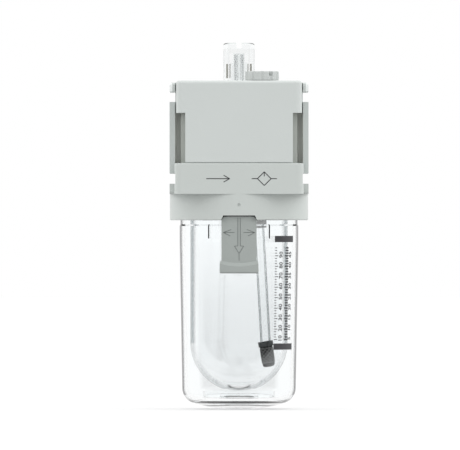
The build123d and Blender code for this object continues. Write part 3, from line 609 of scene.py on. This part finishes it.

# The second colour of each finish below is painted shade along its outline.
clear_guard = clear_finish(
    "clear_guard", (0.985, 0.997, 1.0), (0.004, 0.004, 0.005),
    turned=(0.66, 0.76), index=POLYCARBONATE, smooth=0.0, rough=0.02, depth=0.02 * MM,
    Radius=GUARD_SKIN, Round_Centre=NOT_ROUND, Pale_Below=GUARD_FOOT, Paleness=0.8,
)
clear_bowl = clear_finish(
    "clear_bowl", (0.99, 0.997, 1.0), (0.08, 0.11, 0.12),
    turned=(0.51, 0.66), index=POLYCARBONATE, smooth=0.0, rough=0.03, depth=0.02 * MM,
    Radius=BOWL_SKIN, Round_Centre=BOWL_ROUND_CENTRE, Pale_Below=BOWL_ROUND_CENTRE, Paleness=0.5,
)
clear_dome = clear_finish(
    "clear_dome", (0.97, 0.985, 0.985), (0.70, 0.72, 0.72),
    turned=(0.75, 0.95), index=POLYCARBONATE, smooth=0.0, rough=0.03, depth=0.01 * MM,
)
clear_tube = clear_finish(
    "clear_tube", (0.985, 0.99, 0.99), (0.07, 0.09, 0.09),
    turned=(0.24, 0.50), index=TUBE_PLASTIC, smooth=0.02, rough=0.08, depth=0.01 * MM,
)
dress(clear_guard, "bowl_guard")
dress(clear_bowl, "inner_bowl")
dress(clear_dome, "sight_dome")
dress(clear_tube, "suction_tube", "drip_tube")

# %% [markdown]
# Two clear skins get painted shade in a part of them. The dome's thick foot bends the light into dark
# upright lines, and these are painted into its tint, placed by a ramp on how far the surface has turned
# away. The guard's neck shows through the narrow gap above the lock button, where hardly any light gets
# in, so that shade is painted on the neck as black at every angle. Both painted shades lie on the outer
# skin only, where it is seen from outside.

# %% Painted shade on the dome's foot and in the gap above the button
DOME_PAINTED_SHADE = (0.10, 0.10, 0.08)
# How far the skin has turned away, from 0 to 1, and how much of the painted shade shows there.
DOME_BANDS = (
    (0.15, 0), (0.165, 1), (0.195, 1), (0.21, 0), (0.26, 0), (0.28, 1), (0.41, 1), (0.45, 0), (0.99, 0),
)
DOME_ZONE = ((5.9, 0, 126.8), (6.2, 6.2, 132.3))
GAP_PAINTED_SHADE = (0.0002, 0.0002, 0.0002)
EVERY_ANGLE = ((0.5, 1),)
GAP_ZONE = ((21.5, 0, 72.4), (22.6, 7.0, 75.0))


def stain_outside(material, colour, bands, bounds):
    """Paint shade into a clear finish in a zone, by how far the surface has turned away from the eye.
    """
    tree = material.node_tree
    base = tree.nodes["Principled BSDF"].inputs["Base Color"]
    tone = base.links[0].from_socket
    facing = add_node(tree, "ShaderNodeLayerWeight").outputs["Facing"]
    ramp = add_node(tree, "ShaderNodeValToRGB", Fac=facing)
    first_grey = bands[0][1]
    ramp.color_ramp.elements[0].color = (first_grey, first_grey, first_grey, 1)
    for at, grey in bands:
        ramp.color_ramp.elements.new(at).color = (grey, grey, grey, 1)
    amount = maths(tree, "MULTIPLY", ramp.outputs["Color"], zone_mask(tree, *bounds))
    behind = add_node(tree, "ShaderNodeNewGeometry").outputs["Backfacing"]
    amount = maths(tree, "SUBTRACT", amount, behind, clamp=True)
    feed(tree, base, mix_colours(tree, amount, tone, (*colour, 1)))
    print("painted shade on", material.name)


stain_outside(clear_dome, DOME_PAINTED_SHADE, DOME_BANDS, DOME_ZONE)
stain_outside(clear_guard, GAP_PAINTED_SHADE, EVERY_ANGLE, GAP_ZONE)

# %% [markdown]
# ## Moulded plastics, rubber and metal
# The button is a mid grey moulding with a fine spark-eroded grain, and the plug is a paler one. The
# insert is natural acetal. Seals and the damper flap are black rubber, the strainer is dark sintered
# metal, and the springs, the clip and the ball are steel.

# %% Finishes of the small parts
button_grey = opaque_finish(
    "button_grey", (0.37, 0.40, 0.385), (0.35, 0.38, 0.365),
    patches=200, grain=2600, depth=0.03 * MM, smooth=0.42, rough=0.58,
)
plug_grey = opaque_finish(
    "plug_grey", (0.55, 0.57, 0.56), (0.52, 0.54, 0.53),
    patches=200, grain=2600, depth=0.03 * MM, smooth=0.4, rough=0.55,
)
acetal = opaque_finish(
    "acetal", (0.86, 0.87, 0.84), (0.82, 0.83, 0.80),
    patches=150, grain=2000, depth=0.02 * MM, smooth=0.35, rough=0.5,
)
ferrule_grey = opaque_finish(
    "ferrule_grey", (0.06, 0.065, 0.065), (0.03, 0.035, 0.035),
    patches=300, grain=2500, depth=0.02 * MM, smooth=0.3, rough=0.45,
)
rubber = opaque_finish(
    "black_rubber", (0.025, 0.025, 0.027), (0.04, 0.04, 0.042),
    patches=400, grain=3000, depth=0.02 * MM, smooth=0.5, rough=0.7,
)
sintered = opaque_finish(
    "sintered_metal", (0.015, 0.015, 0.014), (0.005, 0.005, 0.005),
    patches=1800, grain=4500, depth=0.2 * MM, smooth=0.7, rough=0.9, Specular_IOR_Level=0.15,
)
steel = opaque_finish(
    "steel", (0.62, 0.62, 0.61), (0.52, 0.52, 0.51),
    patches=500, grain=5000, depth=0.01 * MM, smooth=0.22, rough=0.36, Metallic=1.0,
)
dress(button_grey, "lock_button")
dress(plug_grey, "refill_plug")
dress(acetal, "flow_insert")
dress(ferrule_grey, "strainer_ferrule")
dress(rubber, "bowl_o_ring", "insert_o_ring", "insert_neck_o_ring", "dome_o_ring", "plug_o_ring")
dress(rubber, "damper")
dress(sintered, "strainer")
dress(steel, "check_ball", "lock_spring", "dome_clip", "insert_screws", "damper_pin")

# %% [markdown]
# ## Pipe threads of the ports
# Both ports have a right-handed 3/8 pipe thread, which the CAD model leaves as a plain bore. A thread
# is one tooth's profile swept round the axis while it moves along it, which is just what the Screw
# modifier does. The tooth starts as a plane whose inner edge is scaled narrower.

# %% The outline of one tooth
THREAD_PITCH = 1.337 * MM
THREAD_ROOT = 7.52 * MM
THREAD_CREST = 6.95 * MM
ROOT_SHARE = 0.92
CREST_SHARE = 0.25

deselect_all()
middle = (THREAD_ROOT + THREAD_CREST) / 2
bpy.ops.mesh.primitive_plane_add(size=1, location=(0, middle, 0))
thread = bpy.context.object
thread.scale = (THREAD_PITCH * ROOT_SHARE, THREAD_ROOT - THREAD_CREST, 1)
bpy.ops.object.transform_apply(location=True, rotation=True, scale=True)
for vertex in thread.data.vertices:
    vertex.select = vertex.co.y < middle
for edge in thread.data.edges:
    edge.select = all(thread.data.vertices[i].select for i in edge.vertices)
thread.data.polygons[0].select = False
bpy.ops.object.mode_set(mode="EDIT")
bpy.ops.transform.resize(value=(CREST_SHARE, 1, 1))
bpy.ops.mesh.select_all(action="SELECT")
bpy.ops.mesh.delete(type="ONLY_FACE")
bpy.ops.object.mode_set(mode="OBJECT")
print("tooth", len(thread.data.edges), "edges")

# %% [markdown]
# The sweep leaves the thread open at both ends, so each end is closed with a face. Then all faces are
# turned outwards, and the thread is set so that it starts a little way inside the port's mouth.

# %% The tooth swept into a thread
PORT_HEIGHT = 103.9 * MM
THREAD_TURNS = 7
THREAD_STEPS = 40
THREAD_START = 15.2 * MM
THREAD_SMOOTH = math.radians(30)

sweep = thread.modifiers.new("sweep", "SCREW")
sweep.axis = "X"
sweep.screw_offset = THREAD_PITCH
sweep.iterations = THREAD_TURNS
sweep.steps = THREAD_STEPS
sweep.use_merge_vertices = False
bpy.ops.object.modifier_apply(modifier="sweep")
edit_all()
bpy.ops.mesh.fill_holes(sides=4)
bpy.ops.mesh.normals_make_consistent(inside=False)
bpy.ops.object.mode_set(mode="OBJECT")
bpy.ops.object.shade_smooth_by_angle(angle=THREAD_SMOOTH)
along = [vertex.co.x for vertex in thread.data.vertices]
thread.location = (THREAD_START - min(along), 0, PORT_HEIGHT)
print("thread length", round((max(along) - min(along)) / MM, 2), "mm")

# %% [markdown]
# The other port's thread is a copy, turned half round. A half turn keeps it right-handed, where a
# mirror would make it left-handed.

# %% The other port's thread
def finish_piece(piece, name, body, material):
    """Apply a piece's place, name it, dress it and let it ride on its body."""
    only(piece)
    bpy.ops.object.transform_apply(location=True, rotation=True, scale=True)
    piece.name = name
    piece.data.materials.clear()
    piece.data.materials.append(material)
    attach(piece, body)


bpy.ops.object.duplicate()
other = bpy.context.object
other.rotation_euler.z = math.pi
other.location.x = -thread.location.x
for piece, name in ((thread, "outlet_thread"), (other, "inlet_thread")):
    finish_piece(piece, name, "casting", body_paint)
print("threads", [len(p.data.polygons) for p in (thread, other)])

# %% [markdown]
# ## Wire mesh of the strainer
# The strainer at the tube's end wears a sleeve of fine wire mesh. Woven wires would need thousands of
# faces for a piece as small as this. A cylinder whose faces are poked, and whose old edges are then
# dissolved, leaves diamonds, and the Wireframe modifier turns those into wires.

# %% A cylinder cut into rings
STRAINER_RADIUS = 2.4 * MM
SLEEVE_GAP = 0.05 * MM
SLEEVE_LENGTH = 5.6 * MM
SLEEVE_SIDES = 10
SLEEVE_RINGS = 4
WIRE = 0.28 * MM

deselect_all()
bpy.ops.mesh.primitive_cylinder_add(
    vertices=SLEEVE_SIDES, radius=STRAINER_RADIUS + SLEEVE_GAP + WIRE / 2, depth=SLEEVE_LENGTH,
    end_fill_type="NOTHING",
)
sleeve = bpy.context.object
for ring in range(1, SLEEVE_RINGS):
    edit_all()
    height = SLEEVE_LENGTH * (ring / SLEEVE_RINGS - 0.5)
    bpy.ops.mesh.bisect(plane_co=(0, 0, height), plane_no=(0, 0, 1))
    bpy.ops.object.mode_set(mode="OBJECT")
old_points = len(sleeve.data.vertices)
print("sleeve", len(sleeve.data.polygons), "faces in", SLEEVE_RINGS, "rings")

# %% [markdown]
# Poking adds one point in the middle of each face. The edges that join two of the old points are the
# ones that go, and the diamonds stay.

# %% Diamonds, then wires
STRAINER_ANGLE = math.radians(-9.3)
SLEEVE_RISE = 0.1 * MM
WIRE_SMOOTH = math.radians(40)

edit_all()
bpy.ops.mesh.poke()
bpy.ops.mesh.select_all(action="DESELECT")
bpy.ops.object.mode_set(mode="OBJECT")
for edge in sleeve.data.edges:
    edge.select = max(edge.vertices) < old_points
bpy.ops.object.mode_set(mode="EDIT")
bpy.ops.mesh.select_mode(type="EDGE")
bpy.ops.mesh.dissolve_edges(use_verts=False)
bpy.ops.object.mode_set(mode="OBJECT")
wires = sleeve.modifiers.new("wires", "WIREFRAME")
wires.thickness = WIRE
wires.use_boundary = True
bpy.ops.object.modifier_apply(modifier="wires")
bpy.ops.object.shade_smooth_by_angle(angle=WIRE_SMOOTH)
low, high = [Vector(corner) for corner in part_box("strainer")]
sleeve.rotation_euler = (0, STRAINER_ANGLE, 0)
sleeve.location = (low + high) / 2 + Vector((0, 0, SLEEVE_RISE))
wire_steel = opaque_finish(
    "wire_steel", (0.26, 0.265, 0.26), (0.19, 0.19, 0.185),
    patches=900, grain=5000, depth=0.01 * MM, smooth=0.4, rough=0.6, Specular_IOR_Level=0.3,
)
finish_piece(sleeve, "strainer_mesh", "casting", wire_steel)
print("sleeve faces", len(sleeve.data.polygons))

# %% [markdown]
# ## Lock spring
# The coil spring under the button's stem gets shorter when the button is pulled down. A copy of the
# coil, with a mesh of its own, stands in for the CAD coil, which is hidden, and rides on the bowl. The
# copy's loose triangles are merged first.

# %% A copy of the spring
MERGE_DISTANCE = 0.001 * MM

only(nodes["lock_spring"])
bpy.ops.object.duplicate()
coil = bpy.context.object
for key in list(coil.keys()):
    del coil[key]
bpy.ops.object.parent_clear(type="CLEAR_KEEP_TRANSFORM")
edit_all()
bpy.ops.mesh.remove_doubles(threshold=MERGE_DISTANCE)
bpy.ops.object.mode_set(mode="OBJECT")
finish_piece(coil, "lock_coil", "bowl", steel)
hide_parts("lock_spring")
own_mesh(coil)
print("coil", len(coil.data.polygons), "faces")

# %% [markdown]
# ## Marks on the button
# The button shows which way to pull it and which way to turn the bowl: one arrow down, one to each
# side. On the button they are pressed in, and here they are thin lines of painted shade, dark as the
# shadow in those grooves. They could be a texture, but a mark that is a shape of its own is kept in
# every export. Each line is a narrow plane, cut into short pieces, pressed onto the curved face with a
# Shrinkwrap modifier and given a hair of thickness.

# %% Helper: flat strokes
def stroke(start, end, width, cuts):
    """A narrow plane from start to end in the plane of X and Y, all in millimetres."""
    (x0, y0), (x1, y1) = [(x * MM, y * MM) for x, y in (start, end)]
    run = Vector((x1 - x0, y1 - y0))
    deselect_all()
    bpy.ops.mesh.primitive_plane_add(size=1, location=((x0 + x1) / 2, (y0 + y1) / 2, 0))
    line = bpy.context.object
    line.scale = (run.length, width * MM, 1)
    line.rotation_euler.z = math.atan2(run.y, run.x)
    bpy.ops.object.transform_apply(location=True, rotation=True, scale=True)
    if cuts:
        bpy.ops.object.mode_set(mode="EDIT")
        bpy.ops.mesh.subdivide(number_cuts=cuts)
        bpy.ops.object.mode_set(mode="OBJECT")
    return line


def join_all(parts):
    deselect_all()
    for part in parts:
        part.select_set(True)
    bpy.context.view_layer.objects.active = parts[0]
    bpy.ops.object.join()
    return bpy.context.object


print("strokes are ready to be drawn and joined")

# %% [markdown]
# A flat mark is stood up in front of its surface, at an angle round the object's axis, and is then
# projected straight onto it. The mark gets a thickness, so that it has faces all round.

# %% Helper: press a mark onto a surface
STAND_OFF = 40 * MM
MARK_LIFT = 0.03 * MM
MARK_THICKNESS = 0.05 * MM


def press_on(mark, target, angle, height, lift=MARK_LIFT, thickness=MARK_THICKNESS):
    mark.location = (STAND_OFF * math.sin(angle), -STAND_OFF * math.cos(angle), height)
    mark.rotation_euler = (math.pi / 2, 0, angle)
    only(mark)
    wrap = mark.modifiers.new("wrap", "SHRINKWRAP")
    wrap.target = target
    wrap.wrap_method = "PROJECT"
    wrap.use_project_z = True
    wrap.use_negative_direction = True
    wrap.use_positive_direction = False
    wrap.offset = lift
    bpy.ops.object.modifier_apply(modifier="wrap")
    body = mark.modifiers.new("body", "SOLIDIFY")
    body.thickness = thickness
    body.offset = 0
    bpy.ops.object.modifier_apply(modifier="body")


print("a mark is", round(MARK_THICKNESS / MM, 3), "mm thick")

# %% [markdown]
# The arrows are drawn in millimetres from the middle of the button's face. The double line in the
# middle is the shaft of the arrow down, and a single line runs on from its tip.

# %% Arrows on the button
FACE_HEIGHT = 64.0 * MM
ARROW_LINE = 0.15
ARROW_CUTS = 5
ARROW_LINES = [
    ((-0.46, 9.3), (-0.46, -1.4)), ((0.46, 9.3), (0.46, -1.4)),
    ((-1.75, -1.5), (0, -4.3)), ((1.75, -1.5), (0, -4.3)),
    ((-1.75, -1.5), (-0.46, -1.4)), ((0.46, -1.4), (1.75, -1.5)),
    ((0, -4.3), (0, -7.0)),
    ((-6.0, 3.7), (-3.0, 4.8)), ((-6.0, 3.7), (-3.4, 2.4)), ((-6.0, 3.7), (-1.7, 3.7)),
    ((6.0, 3.7), (3.0, 4.8)), ((6.0, 3.7), (3.4, 2.4)), ((6.0, 3.7), (1.7, 3.7)),
]

arrows = join_all([stroke(start, end, ARROW_LINE, ARROW_CUTS) for start, end in ARROW_LINES])
press_on(arrows, nodes["lock_button"], 0, FACE_HEIGHT)
# The arrows' dark grey is painted shade: it stands in for the shadow in the grooves pressed into the
# button.
groove_shade_grey = opaque_finish(
    "groove_shade_grey", (0.10, 0.11, 0.105), (0.07, 0.08, 0.075),
    patches=300, grain=2500, depth=0.01 * MM, smooth=0.5, rough=0.65,
)
finish_piece(arrows, "button_arrows", "button", groove_shade_grey)
print("arrows", len(ARROW_LINES), "lines")

# %% [markdown]
# ## Marks on the front panel
# The front panel carries the common drawing symbol of a lubricator, a diamond with a short line in its
# top corner, and an arrow for the direction of flow. The panel is flat, so these lines need no cuts,
# and their ink is thinner, because the panel is the frontmost face of the object.

# %% Symbol and flow arrow on the panel
PANEL_HEIGHT = 88.2 * MM
PANEL_INK = 0.01 * MM
PANEL_LINE = 0.34
PANEL_LINES = [
    ((7.0, 0), (9.6, 2.6)), ((9.6, 2.6), (12.2, 0)),
    ((12.2, 0), (9.6, -2.6)), ((9.6, -2.6), (7.0, 0)),
    ((9.6, 2.6), (9.6, 0.9)), ((4.8, 0), (7.0, 0)), ((12.2, 0), (14.4, 0)),
    ((-12.5, 0), (-3.6, 0)), ((-3.6, 0), (-5.9, 1.3)), ((-3.6, 0), (-5.9, -1.3)),
]

symbol = join_all([stroke(start, end, PANEL_LINE, 0) for start, end in PANEL_LINES])
press_on(symbol, nodes["body"], 0, PANEL_HEIGHT, lift=PANEL_INK, thickness=PANEL_INK)
ink = opaque_finish(
    "black_ink", (0.035, 0.035, 0.04), (0.06, 0.06, 0.065),
    patches=600, grain=4000, depth=0.005 * MM, smooth=0.4, rough=0.6,
)
finish_piece(symbol, "panel_symbol", "casting", ink)
print("panel symbol", len(PANEL_LINES), "lines")

# %% [markdown]
# ## Level scale on the guard
# The right side of the guard carries a printed scale that shows how much oil is left. It has a black
# bar at each end, two rows of ticks and plain numbers that read upwards. Everything is laid out flat
# first, in a plane that touches the guard at the scale's middle, and then pressed onto the wall.

# %% Bars and ticks of the scale, in millimetres from its middle
SCALE_WIDTH = 11.0
SCALE_LOW = 22.9
SCALE_HIGH = 66.4
BAR = 2.4
BAR_CUTS = 12
BAR_GAP = 1.5
TICK_STEP = 1.0
TICK_CUTS = 1
LONG_TICK_EVERY = 4
TICK_ROWS = [
    {"long": (-5.3, -3.8), "short": (-5.3, -4.4), "width": 0.3},
    {"long": (-0.1, 2.1), "short": (0.3, 2.1), "width": 0.62},
]

scale_height = SCALE_HIGH - SCALE_LOW
half = scale_height / 2
first_tick = -half + BAR + BAR_GAP
tick_count = int((scale_height - 2 * BAR - 2 * BAR_GAP) / TICK_STEP) + 1
marks = []
for middle in (half - BAR / 2, BAR / 2 - half):
    marks.append(stroke((-SCALE_WIDTH / 2, middle), (SCALE_WIDTH / 2, middle), BAR, BAR_CUTS))
for row in TICK_ROWS:
    for i in range(tick_count):
        height = first_tick + i * TICK_STEP
        near, far = row["long" if i % LONG_TICK_EVERY == 0 else "short"]
        marks.append(stroke((near, height), (far, height), row["width"], TICK_CUTS))
print("bars and ticks:", len(marks))

# %% [markdown]
# Numbers are text, made a mesh before it is turned, so that it can be joined with the ticks. Each
# stands beside a long tick: tens in the left row, fives in the right one.

# %% Plain numbers beside the long ticks
NUMBER_COUNT = 9
NUMBER_COLUMNS = ((10, -2.2), (5, 3.4))
NUMBER_SIZE = 2.5
NUMBER_RISE = 0.4
NUMBER_CURVES = 2
NUMBER_BOLD = 0.02


def number(value, x, y, size):
    deselect_all()
    bpy.ops.object.text_add(location=(0, 0, 0))
    figure = bpy.context.object
    figure.data.body = str(value)
    figure.data.align_x = "CENTER"
    figure.data.align_y = "CENTER"
    figure.data.size = size * MM
    figure.data.resolution_u = NUMBER_CURVES
    figure.data.offset = size * MM * NUMBER_BOLD
    bpy.ops.object.convert(target="MESH")
    figure.location = (x * MM, y * MM, 0)
    figure.rotation_euler.z = math.pi / 2
    bpy.ops.object.transform_apply(location=True, rotation=True, scale=True)
    return figure


for i in range(NUMBER_COUNT):
    height = first_tick + LONG_TICK_EVERY * TICK_STEP * i + NUMBER_RISE
    for unit, x in NUMBER_COLUMNS:
        marks.append(number(unit * (i + 1), x, height, NUMBER_SIZE))
print("marks with numbers:", len(marks))

# %% [markdown]
# The finished layout becomes one piece. It is pressed on at the angle at which the photograph shows
# the scale on the guard, and turns with the bowl.

# %% The scale on the guard
SCALE_ANGLE = math.radians(50.8)

scale = join_all(marks)
press_on(scale, nodes["bowl_guard"], SCALE_ANGLE, (SCALE_LOW + SCALE_HIGH) / 2 * MM)
finish_piece(scale, "level_scale", "bowl", ink)
print("scale pieces joined:", len(scale.data.polygons), "faces")

# %% [markdown]
# ## Floor
# The object stands on a white sweep. A surface that only reflects would look grey beside the white
# tent, so the floor adds a little of its own light for the eye and keeps the object's shadow. Seen
# through the clear pieces it is plain white, like the tent.

# %% Floor
FLOOR_SIZE = 16.0
FLOOR_TONE = 0.5
FLOOR_GLOW = 0.37
FLOOR_ROUGHNESS = 0.9

bpy.ops.mesh.primitive_plane_add(size=FLOOR_SIZE, location=(0, 0, 0))
floor = bpy.context.object
floor.name = "floor"
white, tree, shader = new_material("white_sweep")
shader.inputs["Roughness"].default_value = FLOOR_ROUGHNESS
shader.inputs["Specular IOR Level"].default_value = 0.0
shader.inputs["Emission Color"].default_value = (1, 1, 1, 1)
paths = add_node(tree, "ShaderNodeLightPath")
through = maths(
    tree, "MAXIMUM", paths.outputs["Is Glossy Ray"], paths.outputs["Is Transmission Ray"],
)
paint = mix_colours(tree, through, (FLOOR_TONE, FLOOR_TONE, FLOOR_TONE, 1), (0, 0, 0, 1))
eye_glow = maths(tree, "MULTIPLY", paths.outputs["Is Camera Ray"], FLOOR_GLOW)
feed(tree, shader.inputs["Base Color"], paint)
feed(tree, shader.inputs["Emission Strength"], maths(tree, "MAXIMUM", eye_glow, through))
floor.data.materials.append(white)
print("floor glow", FLOOR_GLOW)
